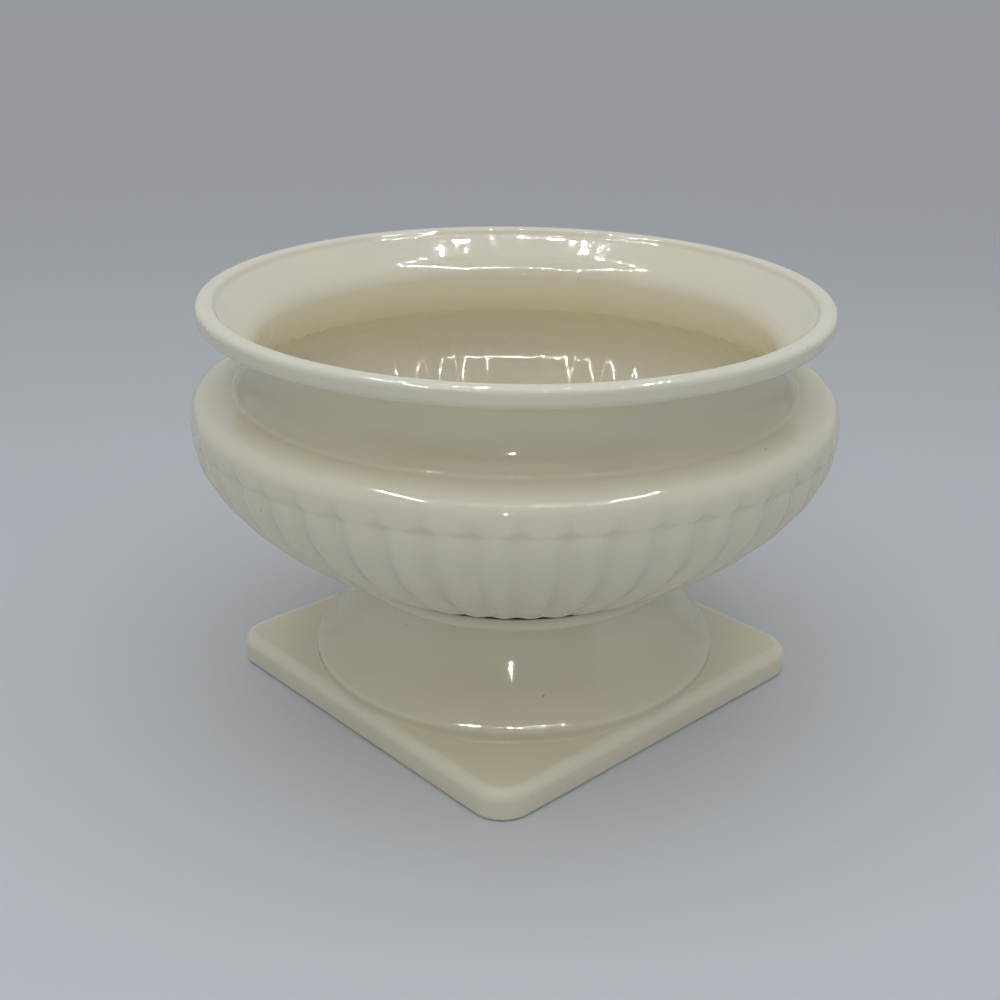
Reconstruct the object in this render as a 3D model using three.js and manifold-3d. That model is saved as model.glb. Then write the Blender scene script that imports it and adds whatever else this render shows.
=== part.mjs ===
// A glazed jardiniere on its stand, in millimetres, +Z up, standing on z = 0.
// The stand is a square plinth with a turned, hollow foot that ends in a collar with a shallow recess.
// The bowl drops into that recess on its own foot ring, and lifts straight off.
import * as THREE from 'three';
import { mergeVertices } from 'three/addons/utils/BufferGeometryUtils.js';
import Module from 'manifold-3d';

const wasm = await Module();
wasm.setup();

// Fits
const restGap = 0.3; // bowl's foot ring over its seat
const ringClearance = 0.6; // radial, bowl's foot ring inside the recess
const underGap = 0.4; // collar under the bowl's belly

// Turned foot of the stand
const flareRadius = 77.3; // where the flare leaves the step
const stepLedge = 1.7; // how far the step stands out from the flare
const stepHeight = 5.6;
const stepRound = 1.5;
const flareHeight = 28.2;
const flareHollow = 1.6; // how far the flare's curve is drawn in
const waistRadius = 59.6;
const collarRadius = 66.2;
const collarRound = 2.4; // half the collar's thickness
const collarDrop = 2.8; // from the waist up to the collar's underside
const seatDrop = 5.1; // from the collar's top edge down to the seat
const seatThickness = 5;
const footWall = 6;

// Plinth
const plinthMargin = 2; // from the step to the middle of each side
const plinthThickness = 11.7;
const plinthCornerRadius = 13;
const plinthEdgeRound = 4.5;

// Bowl, heights above its foot ring
const footRingRadius = 55.5;
const footRingWidth = 8.5;
const footRingDepth = 2;
const bellyRadius = 119.5;
const bellyHeight = 59.9;
const bellyStart = { radius: 60.2, height: 3.4 }; // where the belly springs from the foot ring
const bellyLow = { radius: 85.2, height: 13.1 };
const bellyHigh = 21.5; // length of the upright run under the widest point
const shoulderLedge = 15.5; // how far the shoulder comes in over the belly
const shoulderHeight = 74.4;
const neckLedge = 5.5; // how far the neck comes in from the shoulder's inner edge
const neckHeight = 86.5;
const lipRadius = 115;
const lipOverhang = 9; // the lip beyond the top of the neck's cove
const lipBand = 7.2; // height of the lip's upright edge
const lipWidth = 6.6;
const bowlHeight = 106;
const bowlWall = 4.8;
const floorThickness = 4.5;

// Gadroons: one row of beads at the belly's widest circle, with a tapering lobe under each
const lobeCount = 50;
const lobeDepth = 1.6;
const lobeFoot = 4.5;
const lobeFade = 22; // height over which the grooves reach their full depth
const beadHeight = 9.2;
const beadDepth = 1.2;
const beadTaper = 2.6; // how far the beads' tops lie in from the belly's widest circle
const lobeTurn = 0.95; // degrees that the bowl is turned on its stand

// Facets
const facetsPerLobe = 3;
const innerFacets = 75;
const footFacets = 75;
const cornerFacets = 5;

const glaze = { color: 0xd9d3bf, roughness: 0.12, metalness: 0 };

// A closed geometry as a solid, with its faces turned outward.
function solid(geometry) {
  const bare = geometry.index ? geometry.toNonIndexed() : geometry.clone();
  bare.deleteAttribute('normal');
  bare.deleteAttribute('uv');
  const merged = mergeVertices(bare, 1e-4);
  const corners = [...merged.index.array];
  const at = merged.attributes.position;
  const faces = [];
  let volume = 0;
  const [a, b, c] = [new THREE.Vector3(), new THREE.Vector3(), new THREE.Vector3()];
  for (let i = 0; i < corners.length; i += 3) {
    const [p, q, r] = corners.slice(i, i + 3);
    if (p === q || q === r || r === p) continue;
    faces.push(p, q, r);
    a.fromBufferAttribute(at, p);
    b.fromBufferAttribute(at, q);
    c.fromBufferAttribute(at, r);
    volume += a.dot(b.cross(c));
  }
  if (volume < 0) faces.reverse();
  return new wasm.Manifold(new wasm.Mesh({
    numProp: 3,
    vertProperties: new Float32Array(at.array),
    triVerts: new Uint32Array(faces),
  }));
}

// A profile, as a path of (radius, height), turned about +Z.
function turned(profile, facets, relief) {
  const geometry = new THREE.LatheGeometry(profile, facets);
  geometry.rotateX(Math.PI / 2);
  if (relief) {
    const at = geometry.attributes.position;
    for (let i = 0; i < at.count; i += 1) {
      const radius = Math.hypot(at.getX(i), at.getY(i));
      if (radius < 1) continue;
      const turn = Math.atan2(at.getX(i), -at.getY(i));
      const factor = (radius - relief(turn, at.getZ(i))) / radius;
      at.setX(i, at.getX(i) * factor);
      at.setY(i, at.getY(i) * factor);
    }
  }
  return solid(geometry);
}

// Points along a list of curves, each sampled in its own number of steps.
function trace(...runs) {
  const points = [];
  for (const [curve, steps] of runs) {
    for (const point of curve.getPoints(steps)) {
      const last = points[points.length - 1];
      if (!last || last.distanceTo(point) > 1e-3) points.push(point);
    }
  }
  return points;
}

const v = (radius, height) => new THREE.Vector2(radius, height);
const line = (...points) => [new THREE.SplineCurve(points), 1];
const bend = (a, b, c, d, steps) => [new THREE.CubicBezierCurve(a, b, c, d), steps];
const sag = (a, b, c, steps) => [new THREE.QuadraticBezierCurve(a, b, c), steps];

function roundedSquare(side, corner) {
  const half = side / 2;
  const shape = new THREE.Shape();
  shape.moveTo(half, -half + corner);
  shape.absarc(half - corner, half - corner, corner, 0, Math.PI / 2);
  shape.absarc(-half + corner, half - corner, corner, Math.PI / 2, Math.PI);
  shape.absarc(-half + corner, -half + corner, corner, Math.PI, 1.5 * Math.PI);
  shape.absarc(half - corner, -half + corner, corner, 1.5 * Math.PI, 2 * Math.PI);
  return shape;
}

// ---- The stand's widths, and its heights from the surface up ----
const stepRadius = flareRadius + stepLedge;
const plinthSide = 2 * (stepRadius + plinthMargin);
const stepTop = plinthThickness + stepHeight;
const waistHeight = stepTop + flareHeight;
const collarUnder = waistHeight + collarDrop;
const collarTop = collarUnder + 2 * collarRound;
const seatHeight = collarTop - seatDrop;
const bowlBase = seatHeight + restGap;
const recessRadius = footRingRadius + ringClearance;

// ---- Bowl ----
const beadTopRadius = bellyRadius - beadTaper;
const shoulderRadius = bellyRadius - shoulderLedge;
const neckRadius = shoulderRadius - neckLedge;
const lipUnderRadius = lipRadius - lipOverhang;
const bellyFoot = v(bellyStart.radius, bellyStart.height);
const belly = v(bellyRadius, bellyHeight);
const bellyCurve = bend(bellyFoot, v(bellyLow.radius, bellyLow.height),
  v(bellyRadius, bellyHeight - bellyHigh), belly, 8);
const lipTop = bowlHeight;
const lipLow = lipTop - lipBand;
const lipInner = lipRadius - lipWidth;

function bowlOutside() {
  const shoulder = v(shoulderRadius, shoulderHeight);
  const neck = v(neckRadius, neckHeight);
  const beadTop = v(beadTopRadius, bellyHeight + beadHeight);
  const rise = shoulderHeight - beadTop.y;
  const overhang = beadTopRadius - shoulderRadius;
  const under = v(lipUnderRadius, lipLow + 0.3);
  return trace(
    line(v(0, footRingDepth), v(footRingRadius - footRingWidth, footRingDepth)),
    line(v(footRingRadius - footRingWidth + 1, 0), v(footRingRadius, 0)),
    line(v(footRingRadius, 1.5), bellyFoot),
    bellyCurve,
    bend(belly, v(bellyRadius + 0.5, bellyHeight + 0.4 * beadHeight),
      v(bellyRadius, bellyHeight + 0.72 * beadHeight), beadTop, 3),
    bend(beadTop, v(beadTopRadius - 0.1 * overhang, beadTop.y + 0.4 * rise),
      v(shoulderRadius + 0.5 * overhang, shoulderHeight + 0.5), shoulder, 3),
    bend(shoulder, v(shoulderRadius - 3.5, shoulderHeight + 2),
      v(neckRadius, neckHeight - 5), neck, 3),
    bend(neck, v(neckRadius, neckHeight + 5), v(lipUnderRadius - 5, lipLow - 1.5), under, 3),
    line(v(lipRadius - 1.6, lipLow), v(lipRadius, lipLow + 1.6)),
    line(v(lipRadius, lipTop - 1.6), v(lipRadius - 1.8, lipTop)),
    line(v(0, lipTop), v(0, lipTop)),
  );
}

function bowlInside() {
  const floor = footRingDepth + floorThickness;
  const throat = v(neckRadius - bowlWall, neckHeight);
  const widest = v(bellyRadius - bowlWall, bellyHeight);
  const inShoulder = v(shoulderRadius + 1, shoulderHeight - bowlWall);
  return trace(
    line(v(0, floor), v(bellyStart.radius - 14, floor)),
    bend(v(bellyStart.radius - 2, floor + 2.6), v(bellyLow.radius - 3, bellyLow.height + 5),
      v(bellyRadius - bowlWall, bellyHeight - bellyHigh + 3), widest, 5),
    bend(widest, v(bellyRadius - bowlWall, bellyHeight + 6),
      v(bellyRadius - bowlWall - 4, shoulderHeight - bowlWall - 1.5), inShoulder, 2),
    bend(inShoulder, v(shoulderRadius - 5, shoulderHeight - bowlWall + 2),
      v(neckRadius - bowlWall, neckHeight - 7), throat, 2),
    bend(throat, v(neckRadius - bowlWall, neckHeight + 7), v(lipInner - 8, lipLow + 1),
      v(lipInner - 2.2, lipLow + 3), 3),
    line(v(lipInner - 1, lipTop - 1.6), v(lipInner + 1, lipTop)),
    line(v(lipInner + 1, lipTop + 5), v(0, lipTop + 5)),
  );
}

// How far the surface lies in from its turned shape, by turn and height.
function gadroons(turn, height) {
  if (height > bellyHeight + beadHeight || height < lobeFoot) return 0;
  const widest = Math.sin(Math.PI * Math.floor(facetsPerLobe / 2) / facetsPerLobe);
  const crown = Math.min(1, Math.abs(Math.sin(lobeCount * turn / 2)) / widest);
  if (height > bellyHeight - 0.01) {
    const along = 2 * (height - bellyHeight) / beadHeight - 1;
    return beadDepth * (1 - crown * Math.sqrt(Math.max(0, 1 - along * along)));
  }
  const fade = THREE.MathUtils.smoothstep(height, lobeFoot, lobeFoot + lobeFade);
  return lobeDepth * (0.4 + 0.6 * fade) * (1 - crown);
}

const bowlSolid = turned(bowlOutside(), lobeCount * facetsPerLobe, gadroons)
  .subtract(turned(bowlInside(), innerFacets));

// ---- Stand ----
function plinth() {
  const options = {
    depth: plinthThickness, bevelEnabled: true, bevelSize: plinthEdgeRound, bevelOffset: -plinthEdgeRound,
    bevelThickness: plinthEdgeRound, bevelSegments: 3, curveSegments: cornerFacets,
  };
  const blank = new THREE.ExtrudeGeometry(roundedSquare(plinthSide, plinthCornerRadius), options);
  blank.translate(0, 0, -plinthEdgeRound);
  const below = new THREE.BoxGeometry(2 * plinthSide, 2 * plinthSide, 4 * plinthThickness);
  below.translate(0, 0, -2 * plinthThickness);
  return solid(blank).subtract(solid(below));
}

// The bowl's underside lies on this line over the collar, so the collar's top follows it.
function underBowl(radius) {
  const slope = (bellyStart.height - 1.5) / (bellyStart.radius - footRingRadius);
  const next = bellyCurve[0].getPoint(0.12);
  const belt = (next.y - bellyStart.height) / (next.x - bellyStart.radius);
  const rise = radius < bellyStart.radius
    ? slope * (radius - bellyStart.radius)
    : belt * (radius - bellyStart.radius);
  return bowlBase + bellyStart.height + rise - underGap;
}

function footOutside() {
  const sunk = plinthThickness - 2;
  const toe = v(flareRadius, stepTop);
  const waist = v(waistRadius, waistHeight);
  const middle = v((flareRadius + waistRadius) / 2 - flareHollow, (stepTop + waistHeight) / 2);
  const edge = collarRadius - collarRound;
  const bead = [];
  for (let i = 0; i <= 4; i += 1) {
    const angle = -Math.PI / 2 + Math.PI * i / 5;
    bead.push(v(edge + collarRound * Math.cos(angle), collarUnder + collarRound * (1 + Math.sin(angle))));
  }
  return [
    ...trace(
      line(v(0, sunk), v(stepRadius, sunk)),
      line(v(stepRadius, stepTop - stepRound), v(stepRadius - 0.5, stepTop - 0.4)),
      sag(toe, middle, waist, 4),
    ),
    v(waistRadius + 0.4, collarUnder - 0.8),
    ...bead,
    v(edge - 1, underBowl(edge - 1)),
    v(recessRadius + 0.8, underBowl(recessRadius + 0.8)),
    v(recessRadius, underBowl(recessRadius) - 0.5),
    v(recessRadius, seatHeight),
    v(0, seatHeight),
  ];
}

function footInside() {
  const ceiling = seatHeight - seatThickness;
  const slant = (flareRadius - waistRadius) / flareHeight;
  const radiusAt = (height) => flareRadius - slant * (height - stepTop) - footWall - flareHollow / 2;
  return [
    v(0, -1),
    v(radiusAt(stepTop), -1),
    v(radiusAt(stepTop), stepTop - 2),
    v(radiusAt((stepTop + ceiling) / 2), (stepTop + ceiling) / 2),
    v(radiusAt(ceiling - 4), ceiling - 4),
    v(radiusAt(ceiling - 4) - 4, ceiling),
    v(0, ceiling),
  ];
}

const standSolid = plinth()
  .add(turned(footOutside(), footFacets))
  .subtract(turned(footInside(), footFacets));

function toMesh(name, shape) {
  const { vertProperties, triVerts } = shape.getMesh();
  const geometry = new THREE.BufferGeometry();
  geometry.setAttribute('position', new THREE.BufferAttribute(vertProperties, 3));
  geometry.setIndex(new THREE.BufferAttribute(triVerts, 1));
  geometry.computeVertexNormals();
  const mesh = new THREE.Mesh(geometry, new THREE.MeshStandardMaterial(glaze));
  mesh.name = name;
  return mesh;
}

const group = new THREE.Group();
group.name = 'jardiniere_on_stand';

const stand = toMesh('stand', standSolid);
group.add(stand);

const bowl = toMesh('bowl', bowlSolid);
bowl.position.z = bowlBase;
bowl.rotation.z = THREE.MathUtils.degToRad(lobeTurn);
group.add(bowl);

export default group;
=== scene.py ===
import bpy
import numpy as np
from mathutils import Matrix, Vector


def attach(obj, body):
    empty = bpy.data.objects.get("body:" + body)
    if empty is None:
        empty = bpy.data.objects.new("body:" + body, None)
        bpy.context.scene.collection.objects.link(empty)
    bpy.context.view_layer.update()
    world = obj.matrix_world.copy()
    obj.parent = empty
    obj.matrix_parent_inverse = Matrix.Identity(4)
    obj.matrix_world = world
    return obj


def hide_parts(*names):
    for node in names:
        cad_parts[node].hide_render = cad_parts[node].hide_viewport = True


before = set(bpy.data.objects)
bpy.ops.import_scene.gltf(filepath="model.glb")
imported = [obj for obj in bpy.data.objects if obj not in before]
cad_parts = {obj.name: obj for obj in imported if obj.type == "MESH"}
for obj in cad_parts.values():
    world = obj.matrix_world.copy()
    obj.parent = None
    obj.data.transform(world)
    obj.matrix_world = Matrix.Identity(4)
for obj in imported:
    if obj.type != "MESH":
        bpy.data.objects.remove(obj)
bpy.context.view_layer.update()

# ---- The view -------------------------------------------------------------------------------
# The camera stands about half a metre in front of one corner of the plinth, and looks down at
# it a little. Its lens sits off the middle of the frame, as in a picture that has been cropped.
lens_place = Vector((-0.3292, -0.3543, 0.2761))
lens_right = Vector((0.71903, -0.69465, 0.01979)).normalized()
lens_up = Vector((0.25647, 0.29173, 0.92148))
lens_back = lens_right.cross(lens_up).normalized()
lens_up = lens_back.cross(lens_right)
camera = bpy.data.objects.new("camera", bpy.data.cameras.new("camera"))
bpy.context.scene.collection.objects.link(camera)
lens_turn = Matrix((lens_right, lens_up, lens_back)).transposed().to_4x4()
camera.matrix_world = Matrix.Translation(lens_place) @ lens_turn
camera.data.sensor_width = 36
camera.data.lens = 48.73
camera.data.shift_x = -0.0509
camera.data.shift_y = -0.0032
camera.data.clip_start = 0.01
camera.data.clip_end = 20
bpy.context.scene.camera = camera


# ---- Stand ----------------------------------------------------------------------------------
# The stand is one hollow piece of cast earthenware under a cream glaze: a square plinth with
# rounded corners, a low step, a flared foot, and a collar with a recess for the bowl's foot
# ring. Its underside is open. All sizes are in millimetres up to the skin, which turns them
# into metres.
MM = 0.001
plinth_half = 80.85
plinth_corner = 13.0
plinth_thickness = 11.6
plinth_edge = 4.5
plinth_heel = 1.7
step_radius = 78.9
step_top = 17.2
flare_toe = 77.2
flare_waist = 59.5
waist_height = 45.5
collar_under = 48.2
collar_edge = 63.5
collar_round = 2.7
recess_radius = 56.1
seat_height = 47.95
hollow_low = 70.5
hollow_top = 51.5
hollow_ceiling = 43.05
hollow_round = 4
rim_round = 1
# painted shade on the foot: the height above which it fades, and how fast
foot_shade_height = 22
foot_shade_fade = 14
pole = 2  # radius of the ring that closes to a point on the axis


def bend(start, pull, push, end, count, crowd=1.0):
    """Points on a cubic curve: (1-t)^3 start + 3(1-t)^2 t pull + 3(1-t) t^2 push + t^3 end. A
    crowd over 1 brings the points closer together towards the end."""
    t = 1 - (1 - np.linspace(0, 1, count)[:, None]) ** crowd
    start, pull, push, end = map(np.array, (start, pull, push, end))
    return (1 - t) ** 3 * start + 3 * (1 - t) ** 2 * t * pull + 3 * (1 - t) * t**2 * push + t**3 * end


def run(start, end, count):
    """Points on the straight line from start to end, evenly spaced."""
    t = np.linspace(0, 1, count)[:, None]
    return (1 - t) * np.array(start) + t * np.array(end)


def swing(centre, size, first, last, count):
    """Points on a circle's arc: centre + size (cos a, sin a), for a from first to last degrees."""
    a = np.radians(np.linspace(first, last, count))[:, None]
    return np.array(centre) + size * np.hstack((np.cos(a), np.sin(a)))


def joined(*pieces):
    """One path of (radius, height) from several, without the points that repeat."""
    path = np.vstack(pieces)
    step = np.hypot(*np.diff(path, axis=0).T)
    return path[np.concatenate(([True], step > 0.02))]


def square_reach(turn, half, corner):
    """Distance from the middle to a rounded square's outline along each turn. On a side it is
    half over the larger of |cos| and |sin|, and at a corner it is where the ray leaves the
    corner's circle: m + sqrt(m^2 - c^2 + corner^2), m being the circle's middle along the ray."""
    cosine, sine = np.abs(np.cos(turn)), np.abs(np.sin(turn))
    flat = half / np.maximum(cosine, sine)
    middle = half - corner
    along = middle * (cosine + sine)
    round_corner = along + np.sqrt(np.maximum(0, along**2 - 2 * middle**2 + corner**2))
    at_corner = flat * np.minimum(cosine, sine) > middle
    return np.where(at_corner, round_corner, flat)


def square_depth(x, y, half, corner):
    """How far a point lies in from a rounded square's outline, positive inside."""
    across, along = np.abs(x) - (half - corner), np.abs(y) - (half - corner)
    outside = np.hypot(np.maximum(across, 0), np.maximum(along, 0))
    return corner - outside - np.minimum(np.maximum(across, along), 0)


def hollow_of(points):
    """Curvature in 1/mm of a grid of rings of points, positive where the surface is hollow. It
    is the sum, along the rings and across them, of the change of direction over the distance,
    taken along the outward normal."""
    around = np.roll(points, -1, 1) - points
    across = np.diff(points, axis=0, append=points[-1:])
    across[-1] = across[-2]
    normal = np.cross(around, across)
    normal /= np.linalg.norm(normal, axis=2, keepdims=True) + 1e-9
    total = np.zeros(points.shape[:2])
    for forward, axis in ((around, 1), (across, 0)):
        length = np.linalg.norm(forward, axis=2, keepdims=True) + 1e-6
        heading = forward / length
        before = np.roll(heading, 1, axis)
        spacing = 0.5 * (length + np.roll(length, 1, axis))[..., 0]
        bent = np.sum((heading - before) * normal, axis=2) / np.maximum(spacing, 0.25)
        if axis == 0:
            bent[0] = bent[-1] = 0
        total += bent
    return total


def evened(values, times):
    """Each value of a grid of rings averaged with its four neighbours, that many times."""
    for _ in range(times):
        beside = np.roll(values, 1, 1) + np.roll(values, -1, 1)
        below = np.vstack((values[:1], values[:-1]))
        above = np.vstack((values[1:], values[-1:]))
        values = (2 * values + beside + below + above) / 6
    return values


def ring_quads(rings, around):
    """The quads that join each ring of points to the next, as the numbers of their points."""
    ring = np.arange(around)
    after = (ring + 1) % around
    first = np.arange(rings - 1)[:, None] * around
    second = first + around
    return np.stack((first + ring, first + after, second + after, second + ring), -1).reshape(-1, 4)


def skin(name, points, glaze, pooling_and_shade):
    """A closed skin over rings of points, in mm, from the bottom ring inside to the last. Quads
    join each ring to the next, and a point in the middle closes each end. A value for each point,
    of glaze pooling and painted shade, is kept as an attribute for the material."""
    rings, around = points.shape[:2]
    ends = points[[0, -1]].mean(axis=1)
    corners = np.vstack((points.reshape(-1, 3), ends)) * MM
    ring = np.arange(around)
    after = (ring + 1) % around
    low, high = rings * around, rings * around + 1
    top = (rings - 1) * around
    fans = np.vstack((
        np.stack((np.full(around, low), after, ring), -1),
        np.stack((np.full(around, high), top + ring, top + after), -1),
    ))
    mesh = bpy.data.meshes.new(name)
    mesh.from_pydata(corners.tolist(), [], ring_quads(rings, around).tolist() + fans.tolist())
    mesh.polygons.foreach_set("use_smooth", np.ones(len(mesh.polygons), bool))
    kept = mesh.attributes.new("pooling_and_shade", "FLOAT", "POINT")
    kept.data.foreach_set("value", np.append(pooling_and_shade.ravel(), (0, 0)).astype(np.float32))
    mesh.materials.append(glaze)
    piece = bpy.data.objects.new(name, mesh)
    bpy.context.scene.collection.objects.link(piece)
    return piece


class Tint:
    """A socket of a material's nodes. Arithmetic on it adds Math nodes."""

    def __init__(self, tree, socket):
        self.tree, self.socket = tree, socket

    def worked(self, operation, one, two=0.0):
        made = self.tree.nodes.new("ShaderNodeMath")
        made.operation = operation
        for place, value in zip(made.inputs, (one, two)):
            if isinstance(value, Tint):
                self.tree.links.new(value.socket, place)
            else:
                place.default_value = value
        return Tint(self.tree, made.outputs[0])

    def __add__(self, other):
        return self.worked("ADD", self, other)

    def __sub__(self, other):
        return self.worked("SUBTRACT", self, other)

    def __rsub__(self, other):
        return self.worked("SUBTRACT", other, self)

    def __mul__(self, other):
        return self.worked("MULTIPLY", self, other)

    __radd__ = __add__
    __rmul__ = __mul__


class Finish:
    """The nodes of a material or of the world, put together one by one."""

    def __init__(self, owner):
        owner.use_nodes = True
        self.tree = owner.node_tree
        self.tree.nodes.clear()

    def node(self, kind, settings=None, sockets=None, out=0):
        """A node of that kind, with its settings, then its sockets' values or links."""
        made = self.tree.nodes.new("ShaderNode" + kind)
        for key, value in (settings or {}).items():
            setattr(made, key, value)
        for key, value in (sockets or {}).items():
            if isinstance(value, Tint):
                self.tree.links.new(value.socket, made.inputs[key])
            else:
                made.inputs[key].default_value = value
        return Tint(self.tree, made.outputs[out]) if made.outputs else None

    def smooth(self, value, low, high):
        """0 below low, 1 above high, and smooth between."""
        return self.node(
            "MapRange",
            {"interpolation_type": "SMOOTHSTEP"},
            {"Value": value, "From Min": low, "From Max": high},
        )

    def blend(self, share, one, two):
        """Colour one, going over to colour two as the share goes from 0 to 1."""
        return self.node("Mix", {"data_type": "RGBA"}, {0: share, 6: one, 7: two}, 2)


def shade(red, green, blue):
    """A colour given as it looks on a screen, 0 to 255, as linear light."""
    seen = np.array((red, green, blue)) / 255
    light = np.where(seen > 0.04045, ((seen + 0.055) / 1.055) ** 2.4, seen / 12.92)
    return (*light.tolist(), 1.0)


def cream_glaze(name, lines, pooling_and_shade_share):
    """A clear, glossy cream glaze over a pale body. It is warmer and darker where the kept
    attribute is high: partly real pooling, where the glaze has run thick in grooves and corners,
    and partly painted shade, laid low on the stand's foot, on the plinth's top, at the foot of the
    bowl's neck and in its hollows inside. It is whiter where it has run thin, on edges and rims.
    It has faint clouds, turning lines of a given depth, a slight ripple, and a few pinholes."""
    glaze = bpy.data.materials.new(name)
    finish = Finish(glaze)
    place = finish.node("TexCoord", out=3)
    pooling_and_shade = finish.node("Attribute", {"attribute_name": "pooling_and_shade"}, out=2)
    cloud = finish.node("TexNoise", None, {"Vector": place, "Scale": 14.0, "Detail": 3.0, "Roughness": 0.55})
    mottle = finish.node("TexNoise", None, {"Vector": place, "Scale": 95.0, "Detail": 2.0})
    ripple = finish.node("TexNoise", None, {"Vector": place, "Scale": 160.0, "Detail": 2.0, "Roughness": 0.4})
    smear = finish.node("TexNoise", None, {"Vector": place, "Scale": 34.0, "Detail": 2.0})
    cells = finish.node("TexVoronoi", {"feature": "F1"}, {"Vector": place, "Scale": 85.0, "Randomness": 1.0})
    luck = finish.node("TexNoise", None, {"Vector": place, "Scale": 23.0, "Detail": 0.0})
    pit = finish.smooth(cells, 0.055, 0.025) * finish.smooth(luck, 0.54, 0.6)

    # glaze pooling and painted shade: a warm, darker tint where the kept attribute is high
    pooled_and_shaded = finish.smooth(pooling_and_shade + (mottle - 0.5) * 0.12, 0.05, 0.9)
    thin = finish.smooth(0.0 - pooling_and_shade + (mottle - 0.5) * 0.1, 0.05, 0.9)
    body = finish.blend(finish.smooth(cloud, 0.3, 0.7), shade(228, 221, 197), shade(224, 218, 196))
    body = finish.blend(pooled_and_shaded * pooling_and_shade_share, body, shade(203, 195, 162))
    body = finish.blend(thin * 0.5, body, shade(224, 223, 213))
    body = finish.blend(pit * 0.6, body, shade(120, 108, 84))
    gloss = 0.03 + smear * 0.035 + pit * 0.3

    height = ripple * 0.0001 + mottle * 0.00006 - pit * 0.0002
    if lines:
        stretched = finish.node("Mapping", None, {"Vector": place, "Scale": (6.0, 6.0, 420.0)})
        turning = finish.node("TexNoise", None, {"Vector": stretched, "Scale": 1.0, "Detail": 2.0})
        height = height + turning * lines
    relief = finish.node("Bump", None, {"Strength": 1.0, "Distance": 1.0, "Height": height})
    coated = finish.node(
        "BsdfPrincipled",
        None,
        {"Base Color": body, "Roughness": gloss, "IOR": 1.52, "Normal": relief},
    )
    finish.node("OutputMaterial", None, {"Surface": coated})
    return glaze


stand_columns = 720
stand_turn = np.arange(stand_columns) / stand_columns * 2 * np.pi

under = joined(
    run((pole, hollow_ceiling), (hollow_top, hollow_ceiling), 4),
    swing((hollow_top, hollow_ceiling - hollow_round), hollow_round, 90, 20, 5),
    run((hollow_top + 5.7, hollow_ceiling - 6.55), (hollow_low - 0.8, step_top + 0.3), 7),
    run((hollow_low, step_top - 2.2), (hollow_low, rim_round), 5),
    swing((hollow_low + rim_round, rim_round), rim_round, 180, 270, 4),
)
flare = joined(
    bend(
        (step_radius, plinth_thickness + 0.6),
        (step_radius - 0.5, plinth_thickness + 0.9),
        (step_radius - 0.3, plinth_thickness + 1.6),
        (step_radius - 0.3, step_top - 2.2),
        5,
    ),
    bend(
        (step_radius - 0.3, step_top - 2.0),
        (step_radius - 0.35, step_top - 0.9),
        (flare_toe + 0.5, step_top - 0.45),
        (flare_toe - 0.2, step_top + 0.25),
        7,
    ),
    bend(
        (flare_toe - 0.5, step_top + 0.55),
        (flare_toe - 6.0, step_top + 6.2),
        (flare_waist + 4.0, waist_height - 10),
        (flare_waist, waist_height),
        26,
    ),
    bend(
        (flare_waist, waist_height),
        (flare_waist - 0.3, waist_height + 1.5),
        (flare_waist + 0.4, collar_under),
        (flare_waist + 2.1, collar_under),
        5,
    ),
    swing((collar_edge, collar_under + collar_round), collar_round, -90, 55, 12),
    run((collar_edge + 0.9, collar_under + 4.65), (recess_radius + 1.2, seat_height + 1.9), 5),
    swing((recess_radius + 0.9, seat_height + 0.95), 0.8, 95, 180, 4),
    run((recess_radius + 0.05, seat_height + 0.55), (recess_radius, seat_height), 2),
    run((recess_radius - 1, seat_height), (pole, seat_height), 4),
)


def round_rings(path):
    """One round ring for each (radius, height) of a path."""
    return [(np.full(stand_columns, radius), np.full(stand_columns, height)) for radius, height in path]


# from the hollow's ceiling down and out under the plinth, up its side, in over its top to the
# step, and up the foot to the collar and the seat
outline = square_reach(stand_turn, plinth_half, plinth_corner)
foot_rings = round_rings(under)
inner = hollow_low + rim_round
outer = square_reach(stand_turn, plinth_half - plinth_heel, plinth_corner - plinth_heel)
for share in (0.15, 0.5, 0.85):
    foot_rings.append((inner + share * (outer - inner), np.zeros(stand_columns)))
for angle in np.radians(np.linspace(-90, 0, 5)):
    inset = plinth_heel * (1 - np.cos(angle))
    reach = square_reach(stand_turn, plinth_half - inset, plinth_corner - inset)
    foot_rings.append((reach, np.full(stand_columns, plinth_heel * (1 + np.sin(angle)))))
for angle in np.radians(np.linspace(0, 90, 11)):
    inset = plinth_edge * (1 - np.cos(angle))
    reach = square_reach(stand_turn, plinth_half - inset, plinth_corner - inset)
    foot_rings.append((reach, None))
last_reach = foot_rings[-1][0]
step_foot = step_radius + 0.02
for share in (0.12, 0.3, 0.5, 0.7, 0.86, 0.95, 1.0):
    foot_rings.append((last_reach + share * (step_foot - last_reach), None))
foot_rings += round_rings(flare)

radii, heights = [], []
for index, (radius, height) in enumerate(foot_rings):
    if height is None:
        # the rings on the plinth's top stop at the step, and lie on the rounded edge or the flat
        radius = np.maximum(radius, step_foot + 0.004 * (len(foot_rings) - index))
        radius = np.minimum(radius, outline)
        x, y = radius * np.cos(stand_turn), radius * np.sin(stand_turn)
        depth = square_depth(x, y, plinth_half, plinth_corner)
        fall = np.maximum(0, plinth_edge - depth)
        height = plinth_thickness - plinth_edge + np.sqrt(np.maximum(0, plinth_edge**2 - fall**2))
    radii.append(radius)
    heights.append(height)
radii, heights = np.array(radii), np.array(heights)
stand_points = np.stack((radii * np.cos(stand_turn), radii * np.sin(stand_turn), heights), -1)

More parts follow.
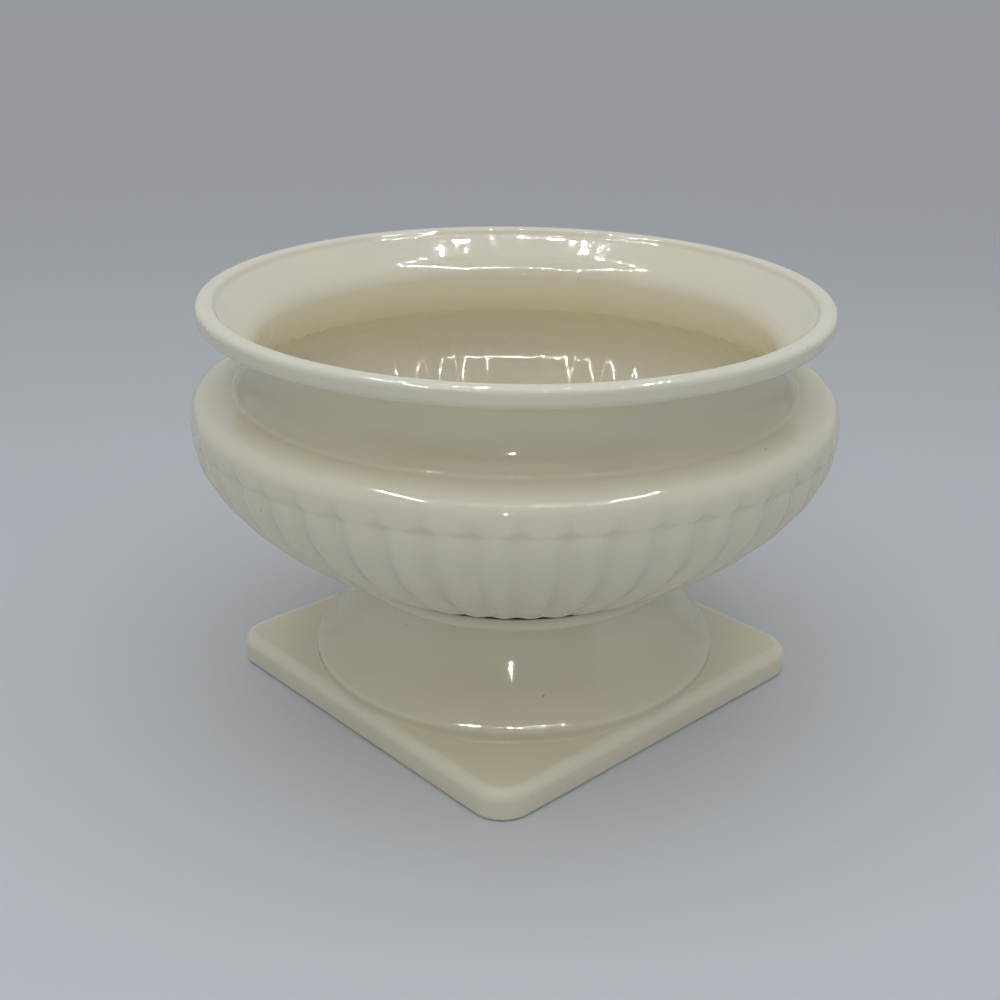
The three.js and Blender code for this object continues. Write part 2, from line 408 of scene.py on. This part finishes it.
# painted shade: a warm, darker tint on the flat of the plinth, and most of it low on the foot, under the
# belly; the hollows add glaze pooling
stand_pooling_and_shade = evened(np.clip(hollow_of(stand_points) * 0.6, -1, 0.4), 3)
above_toe = np.maximum(0, heights - foot_shade_height)
foot_painted_shade = 0.7 * np.exp(-((above_toe / foot_shade_fade) ** 2))
plinth_top_painted_shade = 0.5 * (heights > plinth_thickness - 0.1)
painted_shade = np.where(heights > plinth_thickness + 0.1, foot_painted_shade, plinth_top_painted_shade)
outer_side = np.arange(len(radii))[:, None] > len(under)
stand_pooling_and_shade = stand_pooling_and_shade + evened(painted_shade * outer_side, 3)
stand = skin("stand_glazed", stand_points, cream_glaze("stand_glaze", 0.00013, 0.55), stand_pooling_and_shade)
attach(stand, "stand")
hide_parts("stand")


# ---- Bowl -----------------------------------------------------------------------------------
# The bowl is cast in one piece, with a rolled lip, a hollow neck and a wide belly. Fifty beads
# run round the belly, and under each a lobe tapers down to the foot ring. The same lobes show
# softly inside. Its heights are counted from under the foot ring, which stands at bowl_base.
bowl_base = 48.3
lobe_count = 50
lobe_turn = np.radians(0.95 - 90)
columns_per_lobe = 14
belly_radius = 119.35
belly_height = 59.9
bead_depth = 0.8
tab_step = 0.16
tab_middle = 64.0
tab_reach = 7.2
lobe_depth = 1.9
lobe_start = 3.6
lobe_full = 26
ring_height = 2
shoulder_top = 73.35
neck_radius = 98.5
neck_height = 86.5
neck_foot = 76
lip_under = 98.8
lip_curl = 2.4
lip_edge = 114.9
lip_round = 2.1
throat_radius = 93.9
throat_height = 87.2
inner_radius = 114.8
inner_height = 60.2
floor_height = 6.6
flute_middle = 42
flute_spread = 24
flute_depth = 0.55

bowl_columns = lobe_count * columns_per_lobe
bowl_turn = lobe_turn + np.arange(bowl_columns) / bowl_columns * 2 * np.pi

outside_low = joined(
    run((pole, ring_height), (45.8, ring_height), 2),
    bend((46.4, 1.9), (47.2, 1.6), (46.8, 0.2), (48.2, 0.02), 3),
    run((50.5, 0), (53.8, 0), 2),
    bend((54.6, 0.1), (55.3, 0.3), (55.4, 0.9), (55.6, 1.4), 3),
    run((57.0, 2.15), (59.4, 3.2), 2),
)
belly = bend(
    (60.2, 3.4),
    (85.2, 13.1),
    (belly_radius, belly_height - 21.5),
    (belly_radius, belly_height),
    32,
    1.5,
)
beads = np.vstack((
    bend(
        (belly_radius, belly_height + 0.4),
        (belly_radius + 0.15, belly_height + 2.6),
        (belly_radius + 0.15, belly_height + 4.8),
        (belly_radius - 0.1, belly_height + 6.6),
        12,
    ),
    bend(
        (belly_radius - 0.16, belly_height + 7.0),
        (belly_radius - 0.4, belly_height + 8.2),
        (belly_radius - 0.9, belly_height + 9.2),
        (belly_radius - 1.75, belly_height + 10.3),
        7,
    ),
))
outside_high = joined(
    bend((117.4, 70.45), (115.9, 72.2), (112.5, shoulder_top), (105.5, shoulder_top), 9),
    bend((105.0, shoulder_top - 0.01), (104.1, shoulder_top - 0.05), (103.4, 73.6), (102.95, 74.4), 5),
    bend((102.7, 74.9), (101.7, 77.0), (neck_radius + 0.5, 79.8), (neck_radius, neck_height), 7),
    bend((neck_radius, neck_height), (neck_radius, neck_height + 5), (101, 97.4), (106, 99.0), 6),
    bend((106, 99.0), (108, 99.3), (110.5, lip_under - 0.05), (112.4, lip_under), 3),
    swing((112.4, lip_under + lip_curl), lip_curl, -90, 0, 4),
    run((lip_edge - 0.05, 102.4), (lip_edge, 103.6), 2),
    swing((lip_edge - lip_round, 103.7), lip_round, 0, 90, 5),
    bend((112.2, 105.85), (111, 105.95), (109.8, 105.9), (109.2, 105.6), 3),
    bend((108.7, 105.3), (108.2, 104.9), (108.0, 103.9), (107.3, 103.3), 4),
)
inside = joined(
    bend((106.9, 103.0), (106.2, 102.3), (105.2, 101.6), (103.8, 100.2), 3),
    bend((103.8, 100.2), (100, 96.5), (throat_radius + 0.3, 93), (throat_radius, throat_height), 7),
    bend((throat_radius, throat_height), (throat_radius, 80), (99.5, 73), (105.6, 69.8), 5),
    bend((105.6, 69.8), (111, 68), (inner_radius, 65.5), (inner_radius, inner_height), 4),
    bend((inner_radius, inner_height), (inner_radius, 42), (82.5, 18), (58, 9.2), 13),
    bend((58, 9.2), (54, 7.6), (50, floor_height), (45, floor_height), 4),
    run((32, floor_height), (pole, floor_height), 2),
)
bowl_path = np.vstack((outside_low, belly, beads, outside_high, inside))
belly_rows = slice(len(outside_low), len(outside_low) + len(belly))
bead_rows = slice(belly_rows.stop, belly_rows.stop + len(beads))
inside_start = bead_rows.stop + len(outside_high)

heading = np.gradient(bowl_path, axis=0)
heading /= np.linalg.norm(heading, axis=1, keepdims=True)
outward = np.stack((heading[:, 1], -heading[:, 0]), -1)

luck = np.random.default_rng(11)
lobe_size = 1 + 0.07 * luck.standard_normal(lobe_count)
lobe_index = (np.arange(bowl_columns) // columns_per_lobe) % lobe_count
side = np.abs((np.arange(bowl_columns) % columns_per_lobe) / columns_per_lobe * 2 - 1)


def eased(value, low, high):
    """0 below low, 1 above high, and 3t^2 - 2t^3 between."""
    t = np.clip((value - low) / (high - low), 0, 1)
    return t * t * (3 - 2 * t)


# the lobes are cut in between, and each bead is a rounded tab that stands out over its lobe
path_rows = np.arange(len(bowl_path))[:, None]
radius = bowl_path[:, :1]
height = bowl_path[:, 1:]
half_lobe = np.pi * radius / lobe_count
wave = 0.5 - 0.5 * np.cos(np.pi * side)
lobe_cut = lobe_depth * wave**1.4
lobe_cut = lobe_cut * (0.16 + 0.84 * eased(height, lobe_start, lobe_full))
lobe_cut = lobe_cut + tab_step * eased(height, belly_height - 8, belly_height)
drop = np.maximum(0, tab_middle - height) / (tab_middle - belly_height + 0.2)
tab_edge = np.hypot(side * half_lobe / tab_reach, drop)
tab_fade = 1 - 0.9 * eased(height, tab_middle - 0.5, belly_height + 7.0)
tab_cut = bead_depth * tab_fade * (1 - np.sqrt(np.maximum(0, 1 - np.minimum(tab_edge, 1) ** 4)))
tab_cut = tab_cut + 2.6 * np.maximum(0, tab_edge - 1) * (height < tab_middle)
relief = np.where(height > belly_height - 2, np.minimum(lobe_cut, tab_cut), lobe_cut)
in_relief = (path_rows >= belly_rows.start) & (path_rows < bead_rows.stop + 3)
relief = relief * (1 - eased(height, belly_height + 5.6, belly_height + 8.4))
relief = np.where(in_relief, relief, 0)
relief = relief * lobe_size[lobe_index] ** 0.5
relief = 0.25 * (np.roll(relief, 1, 1) + 2 * relief + np.roll(relief, -1, 1))

# soft flutes inside, behind the lobes
inner_flute = np.exp(-(((height - flute_middle) / flute_spread) ** 2)) * flute_depth * (1 - side**2)
in_flute = path_rows >= inside_start
relief = relief + np.where(in_flute, inner_flute, 0)

bowl_r = bowl_path[:, :1] - relief * outward[:, :1]
bowl_z = bowl_path[:, 1:] - relief * outward[:, 1:] + bowl_base
bowl_points = np.stack(
    (bowl_r * np.cos(bowl_turn), bowl_r * np.sin(bowl_turn), np.broadcast_to(bowl_z, bowl_r.shape)), -1
)

# painted shade: a warm, darker band at the foot of the neck; the hollows, most of all inside, add glaze
# pooling and painted shade
bowl_pooling_and_shade = evened(np.clip(hollow_of(bowl_points) * 1.2, -1, 1), 3)
bowl_pooling_and_shade = np.where(in_flute, bowl_pooling_and_shade, np.minimum(bowl_pooling_and_shade, 0.2))
on_neck = (path_rows >= bead_rows.stop) & (path_rows < inside_start) & (radius < 103.2)
neck_painted_shade = np.where(on_neck, 0.8 * np.exp(-(((height - neck_foot) / 5) ** 2)), np.zeros(bowl_pooling_and_shade.shape))
bowl_pooling_and_shade = bowl_pooling_and_shade + evened(neck_painted_shade, 2)
bowl = skin("bowl_glazed", bowl_points, cream_glaze("bowl_glaze", 0.00003, 0.45), bowl_pooling_and_shade)
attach(bowl, "bowl")
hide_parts("bowl")


# ---- Floor and lamps ------------------------------------------------------------------------
# A wide sheet of pale blue-grey paper lies under the ware, in a white tent that is lighter
# above than at its sides and open towards the camera. A ring of tiny lamps hangs in the tent,
# one lamp shines down into the bowl, and one small lamp is next to the camera's lens.
def paper():
    """Matt paper, with painted shade: a little darker far from the ware than near it."""
    sheet = bpy.data.materials.new("paper")
    finish = Finish(sheet)
    place = finish.node("TexCoord", out=3)
    along = finish.node("VectorMath", {"operation": "DOT_PRODUCT"}, {0: place, 1: (0.68, 0.733, 0.0)}, 1)
    distance = finish.node("VectorMath", {"operation": "LENGTH"}, {0: place}, 1)
    near = (1.0 - finish.smooth(along, -0.35, 1.0)) * (1.0 - finish.smooth(distance, 2.0, 8.0))
    # painted shade: the paper's tone darkens away from the ware
    tone = finish.blend(near, shade(183, 188, 193), shade(203, 207, 210))
    matt = finish.node(
        "BsdfPrincipled", None, {"Base Color": tone, "Roughness": 1.0, "Specular IOR Level": 0.0}
    )
    finish.node("OutputMaterial", None, {"Surface": matt})
    return sheet


floor_columns = 96
floor_reach = np.array((0.3, 0.8, 2.0, 15.0))[:, None]
floor_turn = np.arange(floor_columns) / floor_columns * 2 * np.pi
floor_x, floor_y = floor_reach * np.cos(floor_turn), floor_reach * np.sin(floor_turn)
floor_points = np.stack((floor_x, floor_y, np.zeros(floor_x.shape)), -1).reshape(-1, 3)
floor_quads = ring_quads(len(floor_reach), floor_columns)[:, ::-1]
floor_mesh = bpy.data.meshes.new("floor")
floor_mesh.from_pydata(floor_points.tolist(), [], [list(range(floor_columns))] + floor_quads.tolist())
floor_mesh.materials.append(paper())
floor = bpy.data.objects.new("floor", floor_mesh)
bpy.context.scene.collection.objects.link(floor)


def lamp(name, kind, watts, size, tint=(1, 1, 1)):
    """A lamp's light: a panel of that width and depth, or a ball of that radius."""
    made = bpy.data.lights.new(name, kind)
    made.energy = watts
    made.color = tint
    if kind == "AREA":
        made.shape = "RECTANGLE"
        made.size, made.size_y = size
    else:
        made.shadow_soft_size = size
    return made


def hung(light, place, turn=0.0):
    """The lamp at its place, facing straight down, not itself seen by the camera."""
    body = bpy.data.objects.new(light.name, light)
    bpy.context.scene.collection.objects.link(body)
    body.location = place
    body.rotation_euler = (0, 0, turn)
    body.visible_camera = False
    return body


# the lamp beside the lens lights the ware softly, and a sharper one in the same place gives
# the bright dots in the glaze
across = Vector((lens_right.x, lens_right.y, 0)).normalized()
ahead = Vector((-across.y, across.x, 0))
beside_lens = lens_place - lens_right * 0.02
hung(lamp("beside_lens", "POINT", 0.42, 0.003, (1.0, 0.9, 0.85)), beside_lens).visible_glossy = False
hung(lamp("spark", "POINT", 0.7, 0.003), beside_lens).visible_diffuse = False

# the ring is a rectangle of rows of tiny lamps, which only show as dots and dashes in the
# glaze, with a wide bar along each row, which only lights
bulb_gap = 0.0435
bulb_height = 0.65
row_turn = -0.77
near_row, far_row, left_row, right_row, row_middle = -0.405, 0.075, -0.275, 0.268, -0.165
bulb = lamp("bulb", "AREA", 0.15, (0.012, 0.007))
steps = (np.arange(-6, 7) * bulb_gap - 0.007).tolist()
bulb_places = [(step, near_row) for step in steps] + [(step, far_row) for step in steps]
bulb_places += [(row, step + row_middle) for step in steps[1:-1] for row in (left_row, right_row)]
for step_across, step_ahead in bulb_places:
    place = across * step_across + ahead * step_ahead + Vector((0, 0, bulb_height))
    hung(bulb, place, row_turn).visible_diffuse = False
bar = lamp("bar", "AREA", 0.28, (0.55, 0.05), (0.64, 0.76, 1.0))
bar_places = (
    (0, near_row, row_turn),
    (0, far_row, row_turn),
    (left_row, row_middle, row_turn + np.pi / 2),
    (right_row, row_middle, row_turn + np.pi / 2),
)
for step_across, step_ahead, turn in bar_places:
    place = across * step_across + ahead * step_ahead + Vector((0, 0, bulb_height))
    hung(bar, place, turn).visible_glossy = False

# the lamp that shines down into the bowl
mouth_light = lamp("over_mouth", "SPOT", 3.4, 0.02)
mouth_light.spot_size = 0.32
mouth_light.spot_blend = 0.6
hung(mouth_light, (0, 0, bulb_height)).visible_glossy = False

# the tent: what lights the ware, what shows in its glaze, and what the camera sees behind it.
# Its opening is the room behind the camera, below the tent's roof, which shows dark in the glaze
world = bpy.data.worlds.new("tent")
bpy.context.scene.world = world
tent = Finish(world)
wall_tone = (0.03, 0.03, 0.04, 1)
top_tone = (0.95, 0.94, 0.93, 1)
room_tone = (0.35, 0.37, 0.38, 1)
shine_tone = (0.50, 0.52, 0.55, 1)
dark_tone = (0.10, 0.10, 0.10, 1)
far_tone = (0.301, 0.318, 0.3365, 1)
outward_look = tent.node("TexCoord", out=0)
upward = tent.node("SeparateXYZ", None, {"Vector": outward_look}, 2)
forward = tent.node("VectorMath", {"operation": "DOT_PRODUCT"}, {0: outward_look, 1: tuple(-ahead)}, 1)
opening = tent.smooth(forward, 0.45, 0.6) * tent.smooth(upward, 0.62, 0.54)
inside_light = tent.blend(opening, tent.blend(upward, wall_tone, top_tone), room_tone)
glow = tent.node("Background", None, {"Color": inside_light})
backdrop = tent.node("Background", None, {"Color": far_tone})
shine = tent.node("Background", None, {"Color": tent.blend(opening, shine_tone, dark_tone)})
reflected = tent.node("MixShader", None, {0: tent.node("LightPath", out=3), 1: glow, 2: shine})
lit = tent.node("MixShader", None, {0: tent.node("LightPath", out=0), 1: reflected, 2: backdrop})
tent.node("OutputWorld", None, {"Surface": lit})

bpy.context.scene.view_settings.view_transform = "Standard"
